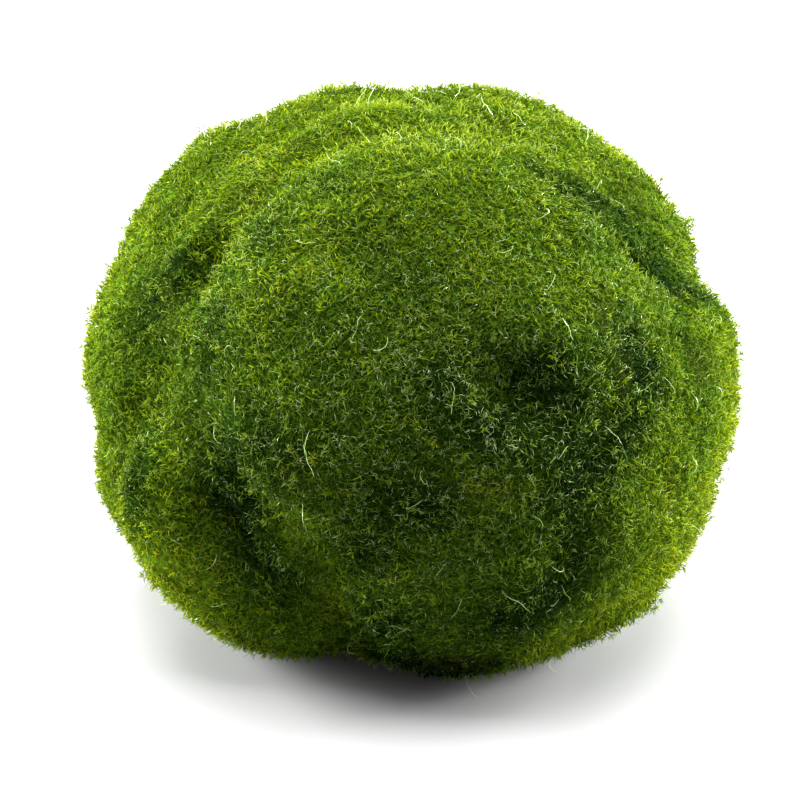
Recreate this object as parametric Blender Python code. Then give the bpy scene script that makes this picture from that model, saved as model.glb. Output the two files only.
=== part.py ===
"""A moss ball: one cushion of green water alga, grown into lobes and resting on a small flat spot.

Metres, +Z up. The origin is on the surface that the ball rests on, under the middle of the ball.
The front of the ball, with its dark pit and its diagonal furrow, faces -Y.

The ball is a single solid, because it grew as one piece. Its surface follows the tips of the
alga's fine threads, which stand a little over a millimetre tall all over it.
"""
import math

import bmesh
import bpy
from mathutils import Vector, noise

MM = 0.001

# Driving dimensions
BALL_WIDTH = 50.0 * MM          # left to right, over the thread tips
REST_SINK = 1.9 * MM            # how far its weight presses the underside flat
REST_EDGE = 1.0 * MM            # how softly the pile curves into the flat spot under it
EDGE_CUTS = 20                  # cuts along each edge of the icosahedron that the ball starts as

# The ball's masses, which meet in furrows, and the lobes that run softly together in each mass:
# the middle of a lobe, from the ball's own middle, and half its width, depth and height, in mm
MASSES = {
    "body": {
        "core":       ((0.0, 0.0, 0.0), (21.0, 20.5, 18.8)),
        "sole":       ((-0.4, -0.2, -9.3), (16.4, 15.6, 12.8)),
    },
    "face": {
        "front":      ((1.5, -5.8, 1.2), (19.2, 18.0, 17.8)),
        "right":      ((9.4, -1.0, -2.0), (15.6, 15.4, 13.2)),
        "right_low":  ((7.6, -3.8, -6.5), (15.6, 15.6, 15.4)),
        "front_low":  ((3.8, -6.4, -6.5), (15.6, 16.2, 15.4)),
    },
    "rim": {
        "crown_left":  ((-3.6, 5.0, 2.9), (15.6, 15.6, 15.0)),
        "crown_right": ((3.8, 4.4, 3.6), (15.2, 15.4, 14.8)),
        "right_back":  ((8.0, 3.6, 1.0), (14.8, 15.2, 14.2)),
    },
    "left": {
        "shoulder":   ((-6.8, 4.2, 2.6), (14.6, 15.6, 14.4)),
        "left":       ((-8.2, 0.6, -2.6), (15.8, 16.0, 14.4)),
    },
    "heel": {
        "heel":       ((-8.3, 0.6, -6.0), (15.4, 15.6, 15.2)),
    },
    "toe": {
        "toe":        ((-7.6, -5.2, -6.8), (14.1, 14.5, 14.6)),
    },
    "behind": {
        "back":       ((-1.6, 8.4, -1.2), (15.8, 15.2, 15.2)),
        "back_right": ((5.8, 6.8, -6.2), (15.0, 14.8, 14.8)),
        "back_left":  ((-5.8, 6.6, -6.4), (14.8, 14.6, 14.8)),
    },
}
LOBE_BLEND = 0.8 * MM           # how softly the lobes of one mass run into each other
MASS_BLEND = 0.45 * MM          # how softly two masses do
FURROW_DEPTH = 1.0 * MM         # the furrow along the line where two masses meet
FURROW_HALF = 0.9 * MM          # how far the masses still differ at the furrow's side
PRESSED = (-0.65, -0.85)        # how far down the relief starts to be pressed out, and where it ends

# The hollows: azimuth (0 is the front, 90 the right) and elevation of the middle, half the angle
# across, how much longer it is than wide, how far its length is turned from level, and depth in mm
HOLLOWS = {
    "front_pit":    (20.5, 16.0, 4.6, 1.9, -42.0, 2.4),
    "side_pit":     (-38.0, -21.0, 7.6, 1.9, -56.0, 4.3),
    "side_furrow":  (-19.0, -37.0, 4.4, 2.6, -66.0, 1.9),
    "low_furrow":   (31.0, -16.0, 5.0, 2.6, -84.0, 1.1),
    "rim_pit":      (71.0, 26.0, 4.8, 2.6, -52.0, 2.2),
    "rim_dip":      (62.0, 50.0, 4.8, 2.2, -38.0, 1.3),
    "left_dip":     (-60.0, 31.0, 4.6, 2.2, 74.0, 1.5),
    "left_hollow":  (-62.0, 8.0, 5.0, 1.4, 20.0, 0.6),
    "left_groove":  (-66.0, -17.0, 2.8, 2.8, 84.0, 1.1),
    "brow_dip":     (-2.0, 41.0, 5.6, 2.0, 0.0, 1.5),
    "right_nick":   (74.0, -16.0, 5.0, 1.0, 0.0, 1.4),
}

# The relief of the pile: the wavelength and the height of each size of tuft
TUFTS = ((9.0 * MM, 0.70 * MM), (4.2 * MM, 0.45 * MM))
TUFT_SHIFT = Vector((3.1, 7.7, 1.9))

MOSS_GREEN = (0.085, 0.17, 0.018, 1.0)
MOSS_ROUGHNESS = 0.75
SHARP_ANGLE = math.radians(60.0)    # only a crease sharper than this would show as an edge


def clear_scene():
    """Remove what the startup file put in the scene."""
    for thing in list(bpy.data.objects):
        bpy.data.objects.remove(thing, do_unlink=True)


def moss_material():
    """Wet, rough green alga."""
    material = bpy.data.materials.new("moss")
    material.use_nodes = True
    shader = material.node_tree.nodes["Principled BSDF"]
    shader.inputs["Base Color"].default_value = MOSS_GREEN
    shader.inputs["Roughness"].default_value = MOSS_ROUGHNESS
    shader.inputs["Metallic"].default_value = 0.0
    material.diffuse_color = MOSS_GREEN
    return material


def reach(direction, middle, half):
    """How far along a direction from the ball's middle the far side of an ellipsoid lies."""
    a = sum((direction[i] / half[i]) ** 2 for i in range(3))
    b = sum(direction[i] * middle[i] / half[i] ** 2 for i in range(3))
    c = sum((middle[i] / half[i]) ** 2 for i in range(3)) - 1.0
    under_root = b * b - a * c
    if under_root <= 0.0:
        return 0.0
    return MM * (b + math.sqrt(under_root)) / a


def soft_most(lengths, blend):
    """The longest of some lengths, rounded where two of them are nearly equal."""
    most = max(lengths)
    return most + blend * math.log(sum(math.exp((length - most) / blend) for length in lengths))


def relief_left(direction):
    """How much of the furrows and tufts is left: all of it, but for under the ball, where they close."""
    return min(max((direction.z - PRESSED[1]) / (PRESSED[0] - PRESSED[1]), 0.0), 1.0)


def lobed_reach(direction):
    """The outermost mass in a direction, with a furrow where it meets the next one."""
    reaches = []
    for lobes in MASSES.values():
        reaches.append(soft_most([reach(direction, *lobe) for lobe in lobes.values()], LOBE_BLEND))
    reaches.sort(reverse=True)
    gap = (reaches[0] - reaches[1]) / FURROW_HALF
    furrow = FURROW_DEPTH * relief_left(direction) * math.exp(-gap * gap)
    return soft_most(reaches, MASS_BLEND) - furrow


def compass(azimuth, elevation):
    """The direction at an azimuth from the front towards the right, and an elevation, in degrees."""
    turn = math.radians(azimuth)
    rise = math.radians(elevation)
    return Vector((math.sin(turn) * math.cos(rise), -math.cos(turn) * math.cos(rise), math.sin(rise)))


def hollow_depth(direction):
    """The depth of the hollows in a direction: each a rounded dip, longer one way than the other."""
    depth = 0.0
    for azimuth, elevation, half_angle, stretch, turn, deepest in HOLLOWS.values():
        axis = compass(azimuth, elevation)
        if direction.dot(axis) <= 0.0:
            continue
        right = Vector((0.0, 0.0, 1.0)).cross(axis).normalized()
        up = axis.cross(right)
        x = math.degrees(direction.dot(right))
        y = math.degrees(direction.dot(up))
        c = math.cos(math.radians(turn))
        s = math.sin(math.radians(turn))
        along = (x * c + y * s) / (half_angle * stretch)
        across = (y * c - x * s) / half_angle
        depth += deepest * MM * math.exp(-along * along - across * across)
    return depth


def tuft_height(point):
    """The uneven pile: it stands higher in some tufts than in others."""
    return sum(height * noise.noise(point / wavelength + TUFT_SHIFT) for wavelength, height in TUFTS)


def grown_shape():
    """The ball as it grew: a finely cut icosahedron pushed out to its lobes, hollows and tufts."""
    shape = bmesh.new()
    bmesh.ops.create_icosphere(shape, subdivisions=1, radius=1.0)
    bmesh.ops.subdivide_edges(shape, edges=shape.edges, cuts=EDGE_CUTS, use_grid_fill=True)
    for vertex in shape.verts:
        direction = vertex.co.normalized()
        surface = direction * (lobed_reach(direction) - hollow_depth(direction))
        vertex.co = surface + direction * tuft_height(surface) * relief_left(direction)
    xs = [vertex.co.x for vertex in shape.verts]
    scale = BALL_WIDTH / (max(xs) - min(xs))
    bmesh.ops.scale(shape, vec=(scale, scale, scale), verts=shape.verts)
    return shape


def flattened(height):
    """A height over the resting surface, with all that would be under it pressed flat onto it."""
    overlap = max(REST_EDGE - abs(height), 0.0) / REST_EDGE
    return max(height, 0.0) + overlap * overlap * REST_EDGE / 4.0


def set_down(shape):
    """Press the underside flat on the resting surface, and stand the ball over the origin."""
    surface_height = min(vertex.co.z for vertex in shape.verts) + REST_SINK
    for vertex in shape.verts:
        vertex.co.z = flattened(vertex.co.z - surface_height)
    xs = [vertex.co.x for vertex in shape.verts]
    ys = [vertex.co.y for vertex in shape.verts]
    middle = Vector((min(xs) + max(xs), min(ys) + max(ys), 0.0)) / 2.0
    bmesh.ops.translate(shape, vec=-middle, verts=shape.verts)


def make_ball():
    """The ball's object, one closed skin of triangles in moss green."""
    shape = grown_shape()
    set_down(shape)
    bmesh.ops.triangulate(shape, faces=shape.faces)
    bmesh.ops.recalc_face_normals(shape, faces=shape.faces)
    mesh = bpy.data.meshes.new("moss_ball")
    shape.to_mesh(mesh)
    shape.free()
    mesh.materials.append(moss_material())
    mesh.shade_smooth()
    mesh.set_sharp_from_angle(angle=SHARP_ANGLE)
    ball = bpy.data.objects.new("moss_ball", mesh)
    bpy.context.scene.collection.objects.link(ball)


clear_scene()
make_ball()
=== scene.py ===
"""A moss ball on a pale studio floor, in the order it grows: the felt inside, with its web of matted
strands, the undergrowth of short threads on it, the pile of fine threads over that, the pile's wet
side branches, and the few stars and stray threads that stand out of it."""
import math

import bmesh
import bpy
import numpy as np
from mathutils import Matrix, Vector, kdtree, noise


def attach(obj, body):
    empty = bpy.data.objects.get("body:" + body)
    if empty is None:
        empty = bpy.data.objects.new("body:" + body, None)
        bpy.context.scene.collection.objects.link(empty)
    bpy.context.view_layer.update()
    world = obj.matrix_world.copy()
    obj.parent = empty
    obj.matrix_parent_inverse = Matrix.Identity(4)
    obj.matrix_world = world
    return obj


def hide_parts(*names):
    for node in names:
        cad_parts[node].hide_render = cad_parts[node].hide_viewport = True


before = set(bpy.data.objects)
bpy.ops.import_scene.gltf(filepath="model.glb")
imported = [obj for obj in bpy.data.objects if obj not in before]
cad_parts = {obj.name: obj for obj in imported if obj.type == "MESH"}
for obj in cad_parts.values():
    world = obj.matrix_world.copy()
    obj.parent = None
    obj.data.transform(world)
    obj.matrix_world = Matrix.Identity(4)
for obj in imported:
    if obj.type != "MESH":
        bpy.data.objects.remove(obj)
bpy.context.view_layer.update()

# --- The felt ---------------------------------------------------------------------------------
# The inside of the ball is the same green alga as its outside, matted into a felt. Its dark colour is
# partly the alga's own deep green and partly painted shade of the gaps between the threads. It has the
# ball's own form, drawn in by the height of the pile, and every thread grows out of it.

MM = 0.001
PILE_HEIGHT = 0.75 * MM             # how far the felt lies under the ball's own surface
FELT_RELIEF = ((2.6 * MM, 0.20 * MM), (0.9 * MM, 0.14 * MM))    # wavelength and height of its lumps
FELT_CUTS = 1                       # cuts along each edge of the ball's own triangles
FELT_SMOOTHING = 0.5                # how far the cut corners move to the middle of their neighbours
WELD = 0.005 * MM                   # corners nearer than this are one
# The felt's colours, from its darkest, where the alga is older and shade is painted, to its lightest
FELT_DARKEST = (0.003, 0.009, 0.001, 1.0)
FELT_GREEN = (0.015, 0.036, 0.003, 1.0)
FELT_LIGHTEST = (0.115, 0.205, 0.008, 1.0)
FELT_BROWN = (0.022, 0.026, 0.003, 1.0)
FELT_ROUGHNESS = 0.8
FELT_MAP_MIDDLE = 0.25                 # what the felt's tone-and-shade map says where the patches change nothing
FELT_MAP_RANGE = 0.9                     # how much it says for a whole unit of change in the patches
FELT_STOPS = ((0.3, FELT_DARKEST), (0.6, FELT_GREEN), (1.0, FELT_LIGHTEST))
BLACK = (0.0, 0.0, 0.0, 1.0)
WHITE = (1.0, 1.0, 1.0, 1.0)
BROWN_PATCHES = {"Scale": 160.0, "Detail": 3.0}
BROWN_STOPS = ((0.58, BLACK), (0.8, WHITE))         # only the peaks of the patches are brown
FIBRES = {"Scale": 3600.0, "Detail": 4.0, "Distortion": 1.5}
FIBRE_STRENGTH = 0.5
FELT_BUMP = {"Strength": 0.9, "Distance": 0.15 * MM}
WEB_SCALES = (1500.0, 2600.0)       # cells in a metre of the web of strands matted on the felt
WEB_WANDER = {"Scale": 1100.0, "Detail": 2.0}
WEB_BEND = 0.8 * MM                 # how far the strands wander
WEB_THICK = 0.10                    # half a strand, as a part of a cell
WEB_LIGHT = 0.34                    # how much fresher a strand is than the felt under it
BALL_MIDDLE = np.array((-0.7, 0.1, 20.8)) * MM      # the point that the ball grew round

# Patches where the colour is darker (less than nothing) or lighter (more). The change is partly the alga's
# own tone, older and darker or younger and lighter, and partly painted light and shade: painted shade in
# the pits, crevices and furrows and under the front where the ball meets the floor, and painted light on
# the rims, edges and crown. For each: azimuth (0 is the front, 90 the right) and elevation of the middle,
# half the angle across, how much longer it is than wide, how far its length is turned from level, and
# the change
TONE_AND_SHADE_PATCHES = {
    "old_face":         (15.0, 5.0, 17.0, 1.2, 0.0, -0.20),
    "old_brow":         (2.0, 37.0, 5.5, 1.3, 0.0, -0.18),
    "old_cheek":        (-31.0, -7.0, 6.5, 2.0, -70.0, -0.25),
    "old_chin":         (1.0, -3.0, 5.0, 1.9, 0.0, -0.22),
    "front_pit":        (25.0, 20.0, 4.5, 1.6, -10.0, -0.16),
    "front_tuft":       (9.0, 4.0, 5.0, 1.4, 0.0, 0.14),
    "face_right":       (47.0, 14.0, 6.0, 1.8, -75.0, -0.40),
    "right_cheek":      (50.0, -7.0, 7.0, 1.6, 85.0, 0.12),
    "low_right":        (30.0, -10.0, 4.5, 3.0, -86.0, -0.20),
    "side_crevice":     (-34.0, -19.0, 7.5, 2.2, -54.0, -0.48),
    "under_front":      (5.0, -46.0, 7.0, 1.3, 0.0, -0.85),
    "rim_furrow":       (80.0, 21.0, 6.5, 2.2, -52.0, -0.34),
    "rim_dip":          (68.0, 46.0, 7.0, 2.0, -38.0, -0.36),
    "left_dip":         (-57.0, 25.0, 6.0, 2.0, 74.0, -0.08),
    "left_brow":        (-66.0, 30.0, 6.0, 1.5, 0.0, -0.12),
    "left_groove":      (-58.0, -15.0, 4.0, 2.6, 84.0, -0.30),
    "left_cheek":       (-48.0, -9.0, 5.0, 1.8, 80.0, 0.18),
    "left_shoulder":    (-36.0, 57.0, 6.0, 1.6, 0.0, -0.12),
    "brow_furrow":      (-38.0, 43.0, 5.5, 1.8, -30.0, -0.20),
    "brow_light":       (-25.0, 38.0, 4.0, 1.4, 0.0, 0.18),
    "face_left":        (-23.0, 5.0, 6.0, 1.5, 0.0, -0.20),
    "toe_edge":         (-17.0, -36.0, 5.0, 1.8, 90.0, 0.20),
    "chin_right":       (24.0, -26.0, 6.0, 1.5, 20.0, -0.36),
    "crevice_edge":     (-24.0, -16.0, 5.0, 1.6, 90.0, 0.26),
    "left_furrow":      (-44.0, 20.0, 5.5, 2.0, 90.0, -0.22),
    "pit_left":         (7.0, 20.0, 4.5, 1.0, 0.0, -0.20),
    "pit_right":        (30.0, 13.0, 6.0, 1.6, 0.0, -0.14),
    "old_right":        (38.0, 1.0, 5.5, 1.3, 0.0, -0.30),
    "right_brow":       (40.0, 30.0, 5.0, 1.4, 0.0, 0.12),
    "chin_left":        (-6.0, -13.0, 4.5, 1.5, 60.0, -0.24),
    "brow_left":        (-15.0, 27.0, 5.0, 1.3, 0.0, -0.08),
    "right_edge":       (66.0, 8.0, 6.0, 1.6, 85.0, -0.18),
    "left_side":        (-72.0, 21.0, 6.5, 1.6, 80.0, -0.24),
    "chin_tuft":        (16.0, -2.0, 5.0, 1.3, 0.0, 0.22),
    "chin_middle":      (-4.0, -31.0, 4.5, 1.5, 20.0, -0.26),
    "pit_lip":          (17.0, 18.0, 3.5, 1.3, 0.0, 0.10),
    "brow_light_right": (10.0, 41.0, 9.0, 2.0, 0.0, 0.06),
    "pit_foot":         (14.0, 11.0, 3.2, 1.2, 0.0, -0.24),
    "rim_fold":         (48.0, 37.0, 6.0, 1.4, 0.0, -0.12),
    "back_old":         (172.0, 14.0, 15.0, 1.5, 30.0, -0.20),
    "back_furrow":      (-140.0, -4.0, 7.0, 2.4, 72.0, -0.28),
    "back_low":         (140.0, -20.0, 11.0, 1.6, 10.0, -0.18),
    "back_fresh":       (130.0, 30.0, 16.0, 1.3, 0.0, 0.14),
    "crown":            (-30.0, 75.0, 32.0, 1.3, 0.0, 0.10),
    "left_foot":        (-52.0, -27.0, 8.5, 1.6, -30.0, 0.28),
    "left_rim":         (-90.0, -8.0, 12.0, 1.8, 90.0, 0.20),
    "right_rim":        (80.0, -6.0, 13.0, 2.0, 85.0, 0.18),
    "right_foot":       (55.0, -28.0, 11.0, 1.5, 40.0, 0.18),
}


def tone_and_shade_at(places):
    """The colour change at some places: about 0 on most of the ball, less where the alga is older and where
    shade is painted, more where it is younger and where light is painted.
    """
    out = places - BALL_MIDDLE
    out = out / np.linalg.norm(out, axis=1, keepdims=True)
    tone_shift = np.zeros(len(out))
    for azimuth, elevation, half_angle, stretch, turn, change in TONE_AND_SHADE_PATCHES.values():
        swing, rise, tilt = (math.radians(angle) for angle in (azimuth, elevation, turn))
        level = math.cos(rise)
        middle = Vector((math.sin(swing) * level, -math.cos(swing) * level, math.sin(rise)))
        right = Vector((0.0, 0.0, 1.0)).cross(middle).normalized()
        up = middle.cross(right)
        x = np.degrees(out @ np.array(right))
        y = np.degrees(out @ np.array(up))
        along = (x * math.cos(tilt) + y * math.sin(tilt)) / (half_angle * stretch)
        across = (y * math.cos(tilt) - x * math.sin(tilt)) / half_angle
        tone_shift += change * np.exp(-along ** 2 - across ** 2) * (out @ np.array(middle) > 0.0)
    return tone_shift


def drawn_in_form(depth):
    """The ball's form, cut finer and drawn in by a depth, and the way out at each of its corners."""
    form = bmesh.new()
    form.from_mesh(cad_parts["moss_ball"].data)
    bmesh.ops.remove_doubles(form, verts=form.verts, dist=WELD)
    bmesh.ops.subdivide_edges(form, edges=form.edges, cuts=FELT_CUTS, use_grid_fill=True)
    bmesh.ops.triangulate(form, faces=form.faces)
    bmesh.ops.smooth_vert(form, verts=form.verts, factor=FELT_SMOOTHING, use_axis_x=True,
                          use_axis_y=True, use_axis_z=True)
    form.normal_update()
    outward = [corner.normal.copy() for corner in form.verts]
    for corner, way_out in zip(form.verts, outward):
        corner.co -= way_out * depth
    return form, outward


def linked_piece(name, mesh, material):
    """Make a piece of the moss ball, which rides on its one body and stands for its one solid."""
    mesh.materials.append(material)
    mesh.shade_smooth()
    piece = bpy.data.objects.new(name, mesh)
    bpy.context.scene.collection.objects.link(piece)
    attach(piece, "root")
    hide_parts("moss_ball")


def node_after(tree, kind, values=None, **feeds):
    """A shader node with its plain values set and its named inputs fed from other nodes' sockets."""
    node = tree.nodes.new(kind)
    for name, value in (values or {}).items():
        node.inputs[name].default_value = value
    for name, source in feeds.items():
        tree.links.new(source, node.inputs[name.replace("_", " ")])
    return node


def ramp_after(tree, source, stops):
    """The colour that a ramp with stops of (place, colour) gives for a socket's value."""
    ramp = tree.nodes.new("ShaderNodeValToRGB")
    ramp.color_ramp.elements[0].position = stops[0][0]
    ramp.color_ramp.elements[0].color = stops[0][1]
    ramp.color_ramp.elements[1].position = stops[-1][0]
    ramp.color_ramp.elements[1].color = stops[-1][1]
    for place, colour in stops[1:-1]:
        ramp.color_ramp.elements.new(place).color = colour
    tree.links.new(source, ramp.inputs["Fac"])
    return ramp.outputs["Color"]


def worked_out(tree, operation, *terms):
    """What a maths node makes of its terms, each of them a plain number or a socket."""
    node = tree.nodes.new("ShaderNodeMath")
    node.operation = operation
    for term, socket in zip(terms, node.inputs):
        if isinstance(term, float):
            socket.default_value = term
        else:
            tree.links.new(term, socket)
    return node.outputs["Value"]


def web_of_strands(tree, places):
    """WEB_LIGHT along the middle of the strands matted on the felt, and nothing between them."""
    wander = node_after(tree, "ShaderNodeTexNoise", WEB_WANDER, Vector=places)
    bent = node_after(tree, "ShaderNodeVectorMath", {1: (WEB_BEND, WEB_BEND, WEB_BEND)})
    bent.operation = "MULTIPLY_ADD"
    tree.links.new(wander.outputs["Color"], bent.inputs[0])
    tree.links.new(places, bent.inputs[2])
    strands = []
    for scale in WEB_SCALES:
        cells = node_after(tree, "ShaderNodeTexVoronoi", {"Scale": scale}, Vector=bent.outputs["Vector"])
        cells.feature = "DISTANCE_TO_EDGE"
        strands.append(cells.outputs["Distance"])
    web = node_after(tree, "ShaderNodeMapRange",
                     {"From Max": WEB_THICK, "To Min": WEB_LIGHT, "To Max": 0.0},
                     Value=worked_out(tree, "MINIMUM", *strands))
    return web.outputs["Result"]


def felt_material():
    """Matted alga: deep green where it is older and where shade is painted, lighter where it is younger and
    where light is painted, with a fibrous bump.
    """
    material = bpy.data.materials.new("felt")
    material.use_nodes = True
    tree = material.node_tree
    shader = tree.nodes["Principled BSDF"]
    shader.inputs["Roughness"].default_value = FELT_ROUGHNESS
    shader.inputs["Specular IOR Level"].default_value = 0.0
    places = tree.nodes.new("ShaderNodeTexCoord").outputs["Object"]
    tone_shade = tree.nodes.new("ShaderNodeAttribute")
    tone_shade.attribute_name = "tone_and_shade"
    patches = node_after(tree, "ShaderNodeTexNoise", BROWN_PATCHES, Vector=places)
    fibres = node_after(tree, "ShaderNodeTexNoise", FIBRES, Vector=places)
    fibrous = worked_out(tree, "MULTIPLY_ADD", fibres.outputs["Fac"], FIBRE_STRENGTH, tone_shade.outputs["Fac"])
    matted = worked_out(tree, "ADD", fibrous, web_of_strands(tree, places))
    green = ramp_after(tree, matted, FELT_STOPS)
    brown = ramp_after(tree, patches.outputs["Fac"], BROWN_STOPS)
    colour = node_after(tree, "ShaderNodeMixRGB", {"Color2": FELT_BROWN}, Fac=brown, Color1=green)
    bump = node_after(tree, "ShaderNodeBump", FELT_BUMP, Height=matted)
    tree.links.new(colour.outputs["Color"], shader.inputs["Base Color"])
    tree.links.new(bump.outputs["Normal"], shader.inputs["Normal"])
    return material


felt_form, ways_out = drawn_in_form(PILE_HEIGHT)
for corner, way_out in zip(felt_form.verts, ways_out):
    corner.co += way_out * sum(height * noise.noise(corner.co / wave) for wave, height in FELT_RELIEF)
felt_mesh = bpy.data.meshes.new("felt")
felt_form.to_mesh(felt_mesh)
felt_form.free()
felt_tone_and_shade = tone_and_shade_at(np.array([corner.co[:] for corner in felt_mesh.vertices]))
tone_shade_map = felt_mesh.attributes.new("tone_and_shade", "FLOAT", "POINT")
tone_shade_map.data.foreach_set("value", FELT_MAP_MIDDLE + FELT_MAP_RANGE * felt_tone_and_shade)
linked_piece("felt", felt_mesh, felt_material())

# --- The undergrowth --------------------------------------------------------------------------
# Short, thick, soft threads of the same alga stand close together on the felt and fill the gaps
# between the finer ones. Each is grown from a small ring, drawn out and turned step by step.

UNDER_COUNT = 42000
UNDER_STEPS = 2
UNDER_STEP = 0.34 * MM              # how far it grows between two turns
UNDER_THICK = 0.14 * MM
UNDER_TURN = math.radians(48.0)     # the usual turn at each step
UNDER_SEEDS = {"shapes": 100, "places": 20, "planting": 21}     # where chance starts for each
UNDER_FINISH = {"see_through": 0.6, "roughness": 0.6, "gloss": 0.05}
KINDS = 32                          # different threads of each sort, which are planted over and over
SIDES = 3                           # a thread's section is a small triangle
TAPER = 0.55                        # the last ring's thickness, as a part of the first one's
FULL_TURN = 6.28                    # round which a thread may start to turn, in radians
TURN_PARTS = (0.5, 1.5)             # the least and the most of the usual turn at a step
MAP_WIDTH = 0.003                   # how far apart a thread's sides lie on the colour map
MAP_ROOT = 0.02                     # how far up the map its root lies
MAP_LENGTH = 0.96                   # and how much of the map's height it takes
CLEAR_OF_FLOOR = 0.01 * MM
FLOOR_SOFTNESS = 0.15 * MM          # how softly the threads under the ball are pressed flat
TUFT_COUNT = 9000                   # the threads lean together in this many tufts
TUFT_SEED = 11
TUFT_HEIGHTS = (0.82, 1.14)         # the lowest and the tallest, as a part of the usual height
TUFT_GATHER = 0.45                  # the most that a tuft's tips draw together, or apart
TUFT_TONES = 0.04                   # how much lighter or darker than the next a tuft usually is
COMB_WAVE = 8.0 * MM                # the tufts lean one way over patches of this size
COMB_LEAN = 0.7 * MM                # how far they lean at the most
COMB_CHANCE = 0.18 * MM             # and how far each usually leans a way of its own
COMB_SHIFTS = (Vector((3.7, 0.0, 0.0)), Vector((0.0, 8.3, 0.0)), Vector((0.0, 0.0, 5.9)))
TONE_WAVES = ((14.0 * MM, 0.06), (5.0 * MM, 0.08), (2.2 * MM, 0.10))    # size and strength of patches
UNEVEN_WHERE_DARK = 4.0               # how much more the threads differ where the tone-and-shade patches darken them
UNEVEN_RANGE = (0.3, 2.2)           # the least and the most that they differ, against the usual
TONE_RANGE = (0.02, 0.98)           # the part of the colour map that is used
THREAD_TILT = 0.30                  # how far a thread usually tilts from the way out
BEND_POWER = 1.6                    # a thread bends little at its root and more towards its tip
LEAST_HEIGHT = 0.1 * MM             # taken as the height of a thread that lies down
UNDER_TONES = (
    (0.00, (0.009, 0.024, 0.002, 1.0)),
    (0.20, (0.030, 0.074, 0.003, 1.0)),
    (0.40, (0.118, 0.225, 0.004, 1.0)),
    (0.56, (0.285, 0.415, 0.004, 1.0)),
    (0.68, (0.410, 0.512, 0.004, 1.0)),
    (0.80, (0.495, 0.568, 0.005, 1.0)),
    (1.00, (0.565, 0.615, 0.020, 1.0)),
)
UNDER_ROOT_SHADE = (                      # painted shade deep in the pile: what the tone is multiplied by, from the root to the tip
    (0.00, (0.34, 0.45, 0.10, 1.0)),
    (0.50, (0.60, 0.68, 0.45, 1.0)),
    (1.00, (0.94, 0.95, 0.90, 1.0)),
)
ROOT_LIFT = 0.6                     # how much of the painted shade at the root is left off the lightest
LIGHT_LEFT = (1.0, 0.93, 0.60, 1.0)         # what is left of white light that passed through a thread
LEAF_SHEEN = (0.75, 0.85, 0.30, 1.0)        # what a dry thread's faint gloss is tinted with


def grown_thread(steps, step, thickness, usual_turn, arching, seed):
    """One thread, as corners (x, y, z), triangles, and for each corner its place round and along.

    An arching thread turns one way at all its steps, and any other turns another way at each.
    """
    chance = np.random.default_rng(seed)
    form = bmesh.new()
    along = form.verts.layers.float.new("along")
    bmesh.ops.create_circle(form, cap_ends=True, segments=SIDES, radius=thickness / 2.0)
    around = form.verts.layers.int.new("around")
    for number, corner in enumerate(form.verts):
        corner[around] = number
    root = form.verts[:]
    end = form.faces[:][0]
    heading = Vector((0.0, 0.0, 1.0))
    axis = Vector((math.cos(chance.uniform(0.0, FULL_TURN)), math.sin(chance.uniform(0.0, FULL_TURN)), 0.0))
    axis.normalize()
    middle = Vector((0.0, 0.0, 0.0))
    for number in range(1, steps + 1):
        last_end = end
        drawn = bmesh.ops.extrude_face_region(form, geom=[end], use_keep_orig=number == 1)
        end = [part for part in drawn["geom"] if isinstance(part, bmesh.types.BMFace)][0]
        # The face that was drawn out would be left inside the thread
        if number > 1 and last_end.is_valid:
            bmesh.ops.delete(form, geom=[last_end], context="FACES_ONLY")
        turn = usual_turn * chance.uniform(*TURN_PARTS)
        if not arching:
            spin = chance.uniform(0.0, FULL_TURN)
            axis = Vector((math.cos(spin), math.sin(spin), 0.0))
            axis = (axis - heading * axis.dot(heading)).normalized()
        bend = Matrix.Rotation(turn, 3, axis)
        heading = (bend @ heading).normalized()
        middle = middle + heading * step
        ring = end.verts[:]
        bmesh.ops.translate(form, verts=ring, vec=middle - end.calc_center_median())
        bmesh.ops.rotate(form, verts=ring, cent=middle, matrix=bend)
        shrink = (1.0 - (1.0 - TAPER) * number / steps) / (1.0 - (1.0 - TAPER) * (number - 1) / steps)
        bmesh.ops.scale(form, verts=ring, vec=(shrink, shrink, shrink), space=Matrix.Translation(-middle))
        for corner in ring:
            corner[along] = number / steps
    bmesh.ops.pointmerge(form, verts=end.verts[:], merge_co=middle)
    bmesh.ops.pointmerge(form, verts=root, merge_co=(0.0, 0.0, 0.0))
    bmesh.ops.triangulate(form, faces=form.faces)
    bmesh.ops.recalc_face_normals(form, faces=form.faces)
    form.verts.index_update()
    corners = np.array([corner.co[:] for corner in form.verts])
    triangles = np.array([[corner.index for corner in face.verts] for face in form.faces])
    on_map = np.array([((corner[around] - 1) * MAP_WIDTH, corner[along]) for corner in form.verts])
    form.free()
    return corners, triangles, on_map


def felt_places(count, chance):
    """Places spread evenly over the felt, with the way out at each."""
    corners = np.array([corner.co[:] for corner in felt_mesh.vertices])
    outward = np.array([way_out[:] for way_out in ways_out])
    triangles = np.array([face.vertices[:] for face in felt_mesh.polygons])
    a, b, c = (corners[triangles[:, k]] for k in range(3))
    areas = np.linalg.norm(np.cross(b - a, c - a), axis=1)
    chosen = triangles[chance.choice(len(triangles), size=count, p=areas / areas.sum())]
    share = chance.dirichlet((1.0, 1.0, 1.0), size=count)[:, :, None]
    places = (corners[chosen] * share).sum(axis=1)
    ways = (outward[chosen] * share).sum(axis=1)
    return places, ways / np.linalg.norm(ways, axis=1, keepdims=True)


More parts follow.
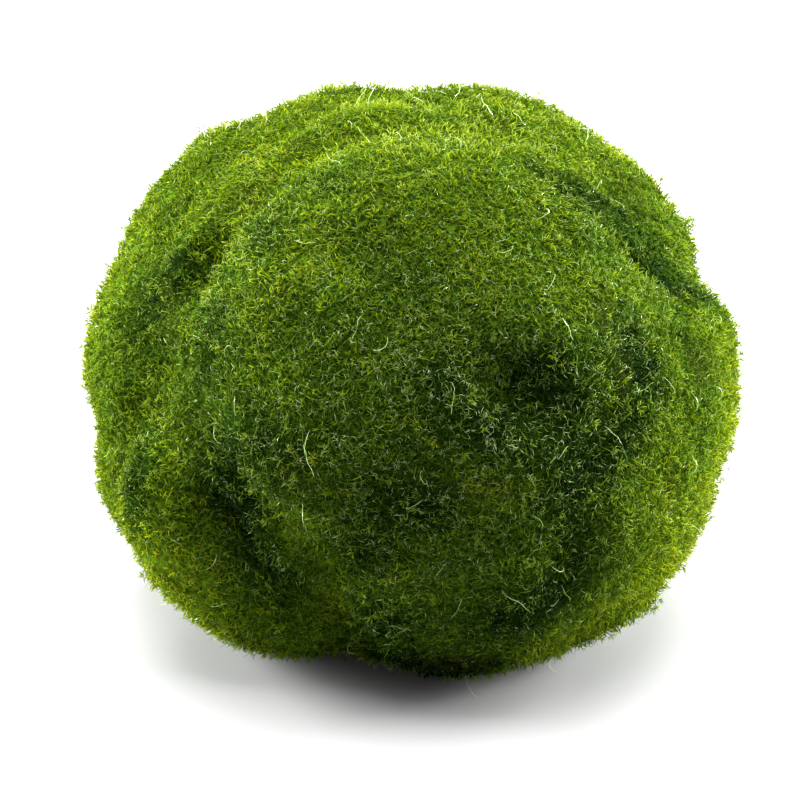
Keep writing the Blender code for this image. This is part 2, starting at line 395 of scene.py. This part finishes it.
def tufts_over_felt():
    """For each tuft, its middle, how it leans, how tall it stands, how it gathers, and its tone."""
    chance = np.random.default_rng(TUFT_SEED)
    middles = felt_places(TUFT_COUNT, chance)[0]
    lean = np.array([[noise.noise(Vector(place) / COMB_WAVE + shift) for shift in COMB_SHIFTS]
                     for place in middles])
    lean = lean * COMB_LEAN + chance.normal(0.0, COMB_CHANCE, size=lean.shape)
    height = chance.uniform(*TUFT_HEIGHTS, size=TUFT_COUNT)
    gather = chance.uniform(-TUFT_GATHER, TUFT_GATHER, size=TUFT_COUNT)
    tone = chance.normal(0.0, TUFT_TONES, size=TUFT_COUNT)
    for wave, strength in TONE_WAVES:
        tone += strength * np.array([noise.noise(Vector(place) / wave) for place in middles])
    finder = kdtree.KDTree(TUFT_COUNT)
    for number, place in enumerate(middles):
        finder.insert(place, number)
    finder.balance()
    return {"middle": middles, "lean": lean, "height": height, "gather": gather, "tone": tone,
            "tone_and_shade": tone_and_shade_at(middles), "finder": finder}


tufts = tufts_over_felt()


def planted(kinds, where, seed, tone, tone_spread, tone_shade_share, crowding, lean_share, gather, sizes):
    """Threads of some kinds, planted where told: corners, triangles, map places and roots.

    The tone is a thread's usual place across the colour map, from 0, the darkest, to 1. It differs
    from one to the next by the tone spread, and follows the tone-and-shade patches, partly the alga's own
    tone and partly painted light and shade, by the tone-and-shade share. Crowding draws the roots to the
    middle of their tuft. The lean share and gather say how far the tips lean with the tuft and draw
    together with it, and sizes are the least and the most that a thread is scaled by.
    """
    chance = np.random.default_rng(seed)
    roots, ways = where
    count = len(roots)
    tuft = np.array([tufts["finder"].find(root)[1] for root in roots])
    roots = roots + (tufts["middle"][tuft] - roots) * crowding
    kind = chance.integers(0, len(kinds), size=count)
    spin = chance.uniform(0.0, 2.0 * math.pi, size=count)
    size = chance.uniform(*sizes, size=count)
    up = ways + chance.normal(0.0, THREAD_TILT, size=(count, 3))
    up /= np.linalg.norm(up, axis=1, keepdims=True)
    side = np.cross(up, chance.normal(size=(count, 3)))
    side /= np.linalg.norm(side, axis=1, keepdims=True)
    across = np.cos(spin)[:, None] * side + np.sin(spin)[:, None] * np.cross(up, side)
    beside = np.cross(up, across)
    lean = tufts["lean"][tuft] * lean_share
    pull = (tufts["middle"][tuft] - roots) * tufts["gather"][tuft][:, None] * gather
    sway = lean + pull
    sway -= ways * (sway * ways).sum(axis=1, keepdims=True)
    uneven = np.clip(1.0 - UNEVEN_WHERE_DARK * tufts["tone_and_shade"][tuft], *UNEVEN_RANGE)
    tones = tone + tufts["tone"][tuft] * uneven + tone_shade_share * tufts["tone_and_shade"][tuft]
    tones = np.clip(tones + chance.normal(0.0, tone_spread, size=count) * uneven, *TONE_RANGE)
    plants = []
    for number, (corners, triangles, on_map) in enumerate(kinds):
        mine = np.nonzero(kind == number)[0]
        tall = max(corners[:, 2].max(), LEAST_HEIGHT)
        grown = corners[None, :, :] * size[mine][:, None, None]
        risen = grown[:, :, 2:3] * tufts["height"][tuft[mine]][:, None, None]
        points = (roots[mine][:, None, :] + grown[:, :, 0:1] * across[mine][:, None, :]
                  + grown[:, :, 1:2] * beside[mine][:, None, :] + risen * up[mine][:, None, :])
        bend = np.clip(corners[None, :, 2:3] / tall, 0.0, None) ** BEND_POWER
        points = points + bend * sway[mine][:, None, :]
        height = points[:, :, 2] / FLOOR_SOFTNESS
        points[:, :, 2] = FLOOR_SOFTNESS * np.logaddexp(0.0, height) + CLEAR_OF_FLOOR
        places = np.empty((len(mine), len(corners), 2))
        places[:, :, 0] = tones[mine][:, None] + on_map[None, :, 0]
        places[:, :, 1] = MAP_ROOT + MAP_LENGTH * on_map[None, :, 1]
        plants.append((points, triangles, places, roots[mine]))
    return plants


def joined_mesh(name, plants, kept):
    """One mesh of the planted threads whose roots pass a test, with their places on the colour map."""
    points, triangles, places = [], [], []
    start = 0
    for corners, faces, on_map, roots in plants:
        mine = kept(roots)
        corners = corners[mine]
        on_map = on_map[mine]
        number = np.arange(len(corners))[:, None, None] * corners.shape[1] + start
        points.append(corners.reshape(-1, 3))
        triangles.append((faces[None, :, :] + number).reshape(-1, 3))
        places.append(on_map.reshape(-1, 2))
        start += corners.shape[0] * corners.shape[1]
    points = np.concatenate(points)
    triangles = np.concatenate(triangles)
    places = np.concatenate(places)
    mesh = bpy.data.meshes.new(name)
    mesh.vertices.add(len(points))
    mesh.vertices.foreach_set("co", points.ravel())
    mesh.loops.add(triangles.size)
    mesh.loops.foreach_set("vertex_index", triangles.ravel())
    mesh.polygons.add(len(triangles))
    mesh.polygons.foreach_set("loop_start", np.arange(0, triangles.size, 3))
    colour_map = mesh.uv_layers.new(name="OFBake")
    colour_map.data.foreach_set("uv", places[triangles.ravel()].ravel())
    mesh.update(calc_edges=True)
    return mesh


def root_shading():
    """A node group: a thread's tone with painted shade towards its root, but less of it the lighter it is.
    """
    group = bpy.data.node_groups.new("root_shading", "ShaderNodeTree")
    for name, kind in (("Tone", "NodeSocketColor"), ("Root_shade", "NodeSocketColor"),
                       ("Lightness", "NodeSocketFloat")):
        group.interface.new_socket(name=name, in_out="INPUT", socket_type=kind)
    group.interface.new_socket(name="Color", in_out="OUTPUT", socket_type="NodeSocketColor")
    feeds = group.nodes.new("NodeGroupInput").outputs
    depth = worked_out(group, "MULTIPLY_ADD", feeds["Lightness"], -ROOT_LIFT, 1.0)
    colour = node_after(group, "ShaderNodeMixRGB", Fac=depth, Color1=feeds["Tone"], Color2=feeds["Root_shade"])
    colour.blend_type = "MULTIPLY"
    group.links.new(colour.outputs["Color"], group.nodes.new("NodeGroupOutput").inputs["Color"])
    return group


shaded_root = root_shading()


def thread_material(name, tones, root_shades, see_through, roughness, gloss, sheen):
    """Living alga, darkened towards the root by painted shade deep in the pile and lighter at the tip,
    which lets some light through.
    """
    material = bpy.data.materials.new(name)
    material.use_nodes = True
    tree = material.node_tree
    shader = tree.nodes["Principled BSDF"]
    shader.inputs["Roughness"].default_value = roughness
    shader.inputs["Specular IOR Level"].default_value = gloss
    shader.inputs["Specular Tint"].default_value = sheen
    on_map = tree.nodes.new("ShaderNodeUVMap")
    on_map.uv_map = "OFBake"
    parts = node_after(tree, "ShaderNodeSeparateXYZ", Vector=on_map.outputs["UV"])
    shading = tree.nodes.new("ShaderNodeGroup")
    shading.node_tree = shaded_root
    tree.links.new(ramp_after(tree, parts.outputs["X"], tones), shading.inputs["Tone"])
    tree.links.new(ramp_after(tree, parts.outputs["Y"], root_shades), shading.inputs["Root_shade"])
    tree.links.new(parts.outputs["X"], shading.inputs["Lightness"])
    colour = shading.outputs["Color"]
    tree.links.new(colour, shader.inputs["Base Color"])
    passed = node_after(tree, "ShaderNodeMixRGB", {"Fac": 1.0, "Color2": LIGHT_LEFT}, Color1=colour)
    passed.blend_type = "MULTIPLY"
    through = node_after(tree, "ShaderNodeBsdfTranslucent", Color=passed.outputs["Color"])
    both = node_after(tree, "ShaderNodeMixShader", {"Fac": see_through})
    tree.links.new(shader.outputs["BSDF"], both.inputs[1])
    tree.links.new(through.outputs["BSDF"], both.inputs[2])
    tree.links.new(both.outputs["Shader"], tree.nodes["Material Output"].inputs["Surface"])
    return material


HALVES = {
    "front": lambda roots: roots[:, 1] < 0.0,
    "back": lambda roots: roots[:, 1] >= 0.0,
}

under_kinds = [grown_thread(UNDER_STEPS, UNDER_STEP, UNDER_THICK, UNDER_TURN, False,
                            UNDER_SEEDS["shapes"] + k) for k in range(KINDS)]
under_places = felt_places(UNDER_COUNT, np.random.default_rng(UNDER_SEEDS["places"]))
under_threads = planted(under_kinds, under_places, UNDER_SEEDS["planting"], tone=0.52,
                        tone_spread=0.05, tone_shade_share=1.3, crowding=0.35, lean_share=0.5,
                        gather=0.5, sizes=(0.8, 1.35))
under_material = thread_material("undergrowth", UNDER_TONES, UNDER_ROOT_SHADE, sheen=LEAF_SHEEN,
                                 **UNDER_FINISH)
for half, kept in HALVES.items():
    name = "undergrowth_" + half
    linked_piece(name, joined_mesh(name, under_threads, kept), under_material)

# --- The pile ---------------------------------------------------------------------------------
# The ball's coat: fine living threads, less than a tenth of a millimetre thick, which grow out of
# the felt, curl every way, some of them back into it, and lean together in tufts. It is made in
# four quarters round the ball.

SHORT_COUNT = 54000
SHORT_STEPS = 2
SHORT_STEP = 0.30 * MM
SHORT_SIZES = (0.6, 1.3)
SHORT_SEEDS = {"shapes": 200, "places": 30, "planting": 22}
LONG_COUNT = 9000
LONG_STEPS = 3
LONG_STEP = 0.36 * MM
LONG_SIZES = (0.7, 1.2)
LONG_SEEDS = {"shapes": 240, "places": 31, "planting": 26}
PILE_THICK = 0.055 * MM
CURL_TURN = math.radians(62.0)
ARCH_TURN = math.radians(27.0)      # the long threads bow over one way
PILE_HABIT = {"tone": 0.50, "tone_spread": 0.06, "tone_shade_share": 0.70, "crowding": 0.2,
              "lean_share": 1.0, "gather": 1.0}
PILE_FINISH = {"see_through": 0.6, "roughness": 0.45, "gloss": 0.12}
PILE_TONES = (
    (0.00, (0.045, 0.100, 0.018, 1.0)),
    (0.20, (0.100, 0.200, 0.032, 1.0)),
    (0.40, (0.235, 0.370, 0.048, 1.0)),
    (0.55, (0.400, 0.520, 0.050, 1.0)),
    (0.68, (0.480, 0.576, 0.045, 1.0)),
    (0.85, (0.535, 0.608, 0.050, 1.0)),
    (1.00, (0.585, 0.640, 0.070, 1.0)),
)
# painted shade deep in the pile: what the tone is multiplied by, from the root to the tip
PILE_ROOT_SHADE = (
    (0.00, (0.24, 0.38, 0.04, 1.0)),
    (0.45, (0.54, 0.63, 0.36, 1.0)),
    (0.80, (0.95, 0.96, 0.90, 1.0)),
    (1.00, WHITE),
)
QUARTERS = {
    "front": lambda roots: -roots[:, 1] > abs(roots[:, 0]),
    "back": lambda roots: roots[:, 1] > abs(roots[:, 0]),
    "right": lambda roots: roots[:, 0] >= abs(roots[:, 1]),
    "left": lambda roots: -roots[:, 0] >= abs(roots[:, 1]),
}

short_kinds = [grown_thread(SHORT_STEPS, SHORT_STEP, PILE_THICK, CURL_TURN, False,
                            SHORT_SEEDS["shapes"] + k) for k in range(KINDS)]
long_kinds = [grown_thread(LONG_STEPS, LONG_STEP, PILE_THICK, ARCH_TURN, True,
                           LONG_SEEDS["shapes"] + k) for k in range(KINDS)]
short_places = felt_places(SHORT_COUNT, np.random.default_rng(SHORT_SEEDS["places"]))
long_places = felt_places(LONG_COUNT, np.random.default_rng(LONG_SEEDS["places"]))
short_threads = planted(short_kinds, short_places, SHORT_SEEDS["planting"], sizes=SHORT_SIZES,
                        **PILE_HABIT)
long_threads = planted(long_kinds, long_places, LONG_SEEDS["planting"], sizes=LONG_SIZES,
                       **PILE_HABIT)
pile_threads = short_threads + long_threads
pile_material = thread_material("pile", PILE_TONES, PILE_ROOT_SHADE, sheen=LEAF_SHEEN, **PILE_FINISH)
for quarter, kept in QUARTERS.items():
    name = "pile_" + quarter
    linked_piece(name, joined_mesh(name, pile_threads, kept), pile_material)

# --- The side branches ------------------------------------------------------------------------
# The alga forks: many threads of the pile carry a short branch or two, which leave them just over
# the felt, at a slant and most often back towards it. They are smooth, wet and catch the light, and
# there are most of them on the front. Their pale colour is partly their own and partly painted sheen.

BRANCH_PASSES = 2                   # how many times each thread gets a chance of a branch
BRANCH_LEAST = 0.04                 # the chance where the ball is driest, and what is added to it
BRANCH_MORE = 0.80                  # where it is wettest
WET_MIDDLE = Vector((0.10, -0.97, 0.22))
WET_REACH = 0.62                    # how far round the ball the wet face reaches, in radians
BRANCH_STEPS = 2
BRANCH_STEP = 0.28 * MM
BRANCH_THICK = 0.05 * MM
BRANCH_TURN = math.radians(34.0)
BRANCH_SLANT = 0.9                  # how far a branch slants off the line back down its thread
SLANT_CHANCE = 0.6                  # and how much that differs from one to the next
BRANCH_SEEDS = {"shapes": 400, "places": 50, "planting": 24}
WET_FINISH = {"see_through": 0.4, "roughness": 0.08, "gloss": 1.0}
WET_IOR = 1.85
WET_SHEEN = (0.9, 1.0, 0.75, 1.0)   # the greenish white of its gloss
# partly the young threads' own pale green and partly painted sheen, whitish like the glints on their wet
# gloss
WET_TONES_AND_SHEEN = (
    (0.00, (0.280, 0.450, 0.150, 1.0)),
    (0.35, (0.570, 0.820, 0.350, 1.0)),
    (0.70, (0.800, 0.950, 0.560, 1.0)),
    (1.00, (0.920, 0.980, 0.740, 1.0)),
)
# painted shade deep in the pile: what the tone is multiplied by, from the root to the tip
WET_ROOT_SHADE = (
    (0.00, (0.55, 0.72, 0.40, 1.0)),
    (0.50, (0.90, 0.95, 0.80, 1.0)),
    (1.00, WHITE),
)


def forks(threads, seed):
    """The places low on some threads that branches leave from, and the ways that they go."""
    chance = np.random.default_rng(seed)
    places, ways = [], []
    for points in [thread[0] for thread in threads * BRANCH_PASSES]:
        # A thread's corners begin with one of its first ring, its root, and two more of that ring
        here = points[:, 1:1 + SIDES].mean(axis=1)
        back = here - points[:, 0]
        back /= np.linalg.norm(back, axis=1, keepdims=True)
        way = back + BRANCH_SLANT * chance.normal(0.0, SLANT_CHANCE, size=back.shape)
        out = here - BALL_MIDDLE
        away = np.arccos(out @ np.array(WET_MIDDLE.normalized()) / np.linalg.norm(out, axis=1))
        wet = BRANCH_LEAST + BRANCH_MORE * np.exp(-(away / WET_REACH) ** 2)
        grown = chance.uniform(size=len(here)) < wet
        places.append(here[grown])
        ways.append((way / np.linalg.norm(way, axis=1, keepdims=True))[grown])
    return np.concatenate(places), np.concatenate(ways)


branch_kinds = [grown_thread(BRANCH_STEPS, BRANCH_STEP, BRANCH_THICK, BRANCH_TURN, False,
                             BRANCH_SEEDS["shapes"] + k) for k in range(KINDS)]
branch_threads = planted(branch_kinds, forks(pile_threads, BRANCH_SEEDS["places"]),
                         BRANCH_SEEDS["planting"], tone=0.50, tone_spread=0.14, tone_shade_share=0.2,
                         crowding=0.0, lean_share=0.3, gather=0.0, sizes=(0.7, 1.2))
wet_material = thread_material("wet_ends", WET_TONES_AND_SHEEN, WET_ROOT_SHADE, sheen=WET_SHEEN, **WET_FINISH)
wet_material.node_tree.nodes["Principled BSDF"].inputs["IOR"].default_value = WET_IOR
for half, kept in HALVES.items():
    name = "branches_" + half
    linked_piece(name, joined_mesh(name, branch_threads, kept), wet_material)

# --- The stars --------------------------------------------------------------------------------
# Here and there a young shoot has split into a little star of ends, lighter than all round it. They
# stand on the felt among the pile, and are of the same fine alga.

STAR_COUNT = 1100
STAR_KINDS = 16
STAR_POINTS = 8
STAR_STEPS = 2
STAR_STEP = 0.25 * MM
STAR_THICK = 0.08 * MM
STAR_TURN = math.radians(34.0)
STAR_OPEN = math.radians(62.0)      # how far its points lean out
OPEN_PARTS = (0.5, 1.1)             # the least and the most of that
STAR_UNEVEN = 0.6                   # how far a point may stand out of its place in the ring
STAR_RISE = 0.4 * MM                # how high over the felt it splits
STAR_SEEDS = {"shapes": 500, "places": 60, "planting": 25}


def grown_star(seed):
    """A star of short threads from one root, as corners, triangles and places on the map."""
    chance = np.random.default_rng(seed)
    corners, triangles, on_map = [], [], []
    start = 0
    for number in range(STAR_POINTS):
        point, faces, places = grown_thread(STAR_STEPS, STAR_STEP, STAR_THICK, STAR_TURN, False,
                                            seed * STAR_POINTS + number)
        swing = 2.0 * math.pi * (number + chance.uniform(0.0, STAR_UNEVEN)) / STAR_POINTS
        opening = STAR_OPEN * chance.uniform(*OPEN_PARTS)
        lean = Matrix.Rotation(swing, 3, "Z") @ Matrix.Rotation(opening, 3, "Y")
        corners.append(point @ np.array(lean).T + (0.0, 0.0, STAR_RISE))
        triangles.append(faces + start)
        on_map.append(places)
        start += len(point)
    return np.concatenate(corners), np.concatenate(triangles), np.concatenate(on_map)


def everywhere(roots):
    """All of the roots, for a piece that isn't parted."""
    return np.full(len(roots), True)


star_kinds = [grown_star(STAR_SEEDS["shapes"] + k) for k in range(STAR_KINDS)]
star_places = felt_places(STAR_COUNT, np.random.default_rng(STAR_SEEDS["places"]))
star_threads = planted(star_kinds, star_places, STAR_SEEDS["planting"], tone=0.54, tone_spread=0.04,
                       tone_shade_share=0.3, crowding=0.0, lean_share=0.2, gather=0.0, sizes=(0.8, 1.4))
linked_piece("stars", joined_mesh("stars", star_threads, everywhere), pile_material)

# --- The stray threads ------------------------------------------------------------------------
# Here and there a longer thread of the same alga has worked loose and loops out of the pile. It is
# wet, and pale with the same painted sheen as the side branches.

STRAY_COUNT = 240
STRAY_STEPS = 7
STRAY_STEP = 0.36 * MM
STRAY_THICK = 0.05 * MM
STRAY_TURN = math.radians(24.0)
STRAY_SEEDS = {"shapes": 300, "places": 40, "planting": 23}

stray_kinds = [grown_thread(STRAY_STEPS, STRAY_STEP, STRAY_THICK, STRAY_TURN, k % 2 == 0,
                            STRAY_SEEDS["shapes"] + k) for k in range(KINDS)]
stray_places = felt_places(STRAY_COUNT, np.random.default_rng(STRAY_SEEDS["places"]))
stray_threads = planted(stray_kinds, stray_places, STRAY_SEEDS["planting"], tone=0.62,
                        tone_spread=0.10, tone_shade_share=0.2, crowding=0.0, lean_share=1.0,
                        gather=0.0, sizes=(0.7, 1.1))
linked_piece("strays", joined_mesh("strays", stray_threads, everywhere), wet_material)

# --- The studio -------------------------------------------------------------------------------
# The ball rests on a white floor, with white all round it. A wide soft light hangs over it, and low
# lights at its sides and behind it shine through the threads at its rim.

FLOOR_HALF = 3.0                    # half the floor's width, in metres
FLOOR_WHITE = (0.44, 0.44, 0.44, 1.0)       # its colour, which this much light washes out to white
FLOOR_BOUNCE = (0.45, 0.45, 0.45, 1.0)      # the part of the light that it throws back up
FLOOR_ROUGHNESS = 0.9
FLOOR_GLOSS = 0.2
WORLD_GLOW = 0.14
CAMERA_LENS = 150.0
CAMERA_SENSOR = 36.0
CAMERA_RISE = math.radians(25.0)
CAMERA_AWAY = 0.2503                # metres from the point that it looks at
LOOK_AT = Vector((-0.86, -1.29, 17.24)) * MM

# The place of each light and the point that it is aimed at, its width and depth, in metres, and watts
LIGHTS = {
    "top_light": ((0.0, -0.01, 0.44), (0.0, 0.0, 0.0), (0.42, 0.31), 4.8),
    "left_light": ((-0.36, 0.16, 0.08), (0.0, 0.0, 0.02), (0.26, 0.15), 8.4),
    "right_light": ((0.36, 0.16, 0.08), (0.0, 0.0, 0.02), (0.26, 0.15), 8.6),
    "back_light": ((0.0, 0.42, 0.14), (0.0, 0.0, 0.03), (0.50, 0.16), 4.6),
}


def parted_by_ray(tree, for_light, for_camera):
    """One shader for the light that bounces about, and another for what the camera sees."""
    rays = tree.nodes.new("ShaderNodeLightPath")
    either = node_after(tree, "ShaderNodeMixShader", Fac=rays.outputs["Is Camera Ray"])
    tree.links.new(for_light, either.inputs[1])
    tree.links.new(for_camera, either.inputs[2])
    return either.outputs["Shader"]


def floor_material():
    """Matt white board."""
    material = bpy.data.materials.new("studio_floor")
    material.use_nodes = True
    tree = material.node_tree
    shader = tree.nodes["Principled BSDF"]
    shader.inputs["Base Color"].default_value = FLOOR_WHITE
    shader.inputs["Roughness"].default_value = FLOOR_ROUGHNESS
    shader.inputs["Specular IOR Level"].default_value = FLOOR_GLOSS
    bounce = node_after(tree, "ShaderNodeBsdfDiffuse", {"Color": FLOOR_BOUNCE})
    surface = parted_by_ray(tree, bounce.outputs["BSDF"], shader.outputs["BSDF"])
    tree.links.new(surface, tree.nodes["Material Output"].inputs["Surface"])
    return material


floor_form = bmesh.new()
bmesh.ops.create_grid(floor_form, x_segments=1, y_segments=1, size=FLOOR_HALF)
floor_mesh = bpy.data.meshes.new("studio_floor")
floor_form.to_mesh(floor_mesh)
floor_form.free()
floor_mesh.materials.append(floor_material())
floor = bpy.data.objects.new("studio_floor", floor_mesh)
bpy.context.scene.collection.objects.link(floor)

for name, (place, aim, (width, depth), watts) in LIGHTS.items():
    lamp = bpy.data.lights.new(name, "AREA")
    lamp.shape = "RECTANGLE"
    lamp.size = width
    lamp.size_y = depth
    lamp.energy = watts
    light = bpy.data.objects.new(name, lamp)
    light.location = place
    light.rotation_euler = (Vector(aim) - Vector(place)).to_track_quat("-Z", "Y").to_euler()
    light.visible_camera = False
    bpy.context.scene.collection.objects.link(light)

world = bpy.data.worlds.new("studio")
bpy.context.scene.world = world
world.use_nodes = True
world_tree = world.node_tree
glow = world_tree.nodes["Background"]
glow.inputs["Color"].default_value = WHITE
glow.inputs["Strength"].default_value = WORLD_GLOW
seen = node_after(world_tree, "ShaderNodeBackground", {"Color": WHITE, "Strength": 1.0})
all_round = parted_by_ray(world_tree, glow.outputs["Background"], seen.outputs["Background"])
world_tree.links.new(all_round, world_tree.nodes["World Output"].inputs["Surface"])

camera_data = bpy.data.cameras.new("studio_camera")
camera_data.lens = CAMERA_LENS
camera_data.sensor_width = CAMERA_SENSOR
camera = bpy.data.objects.new("studio_camera", camera_data)
toward = Vector((0.0, math.cos(CAMERA_RISE), -math.sin(CAMERA_RISE)))
camera.location = LOOK_AT - toward * CAMERA_AWAY
camera.rotation_euler = toward.to_track_quat("-Z", "Y").to_euler()
bpy.context.scene.collection.objects.link(camera)
bpy.context.scene.camera = camera
bpy.context.scene.view_settings.view_transform = "Standard"
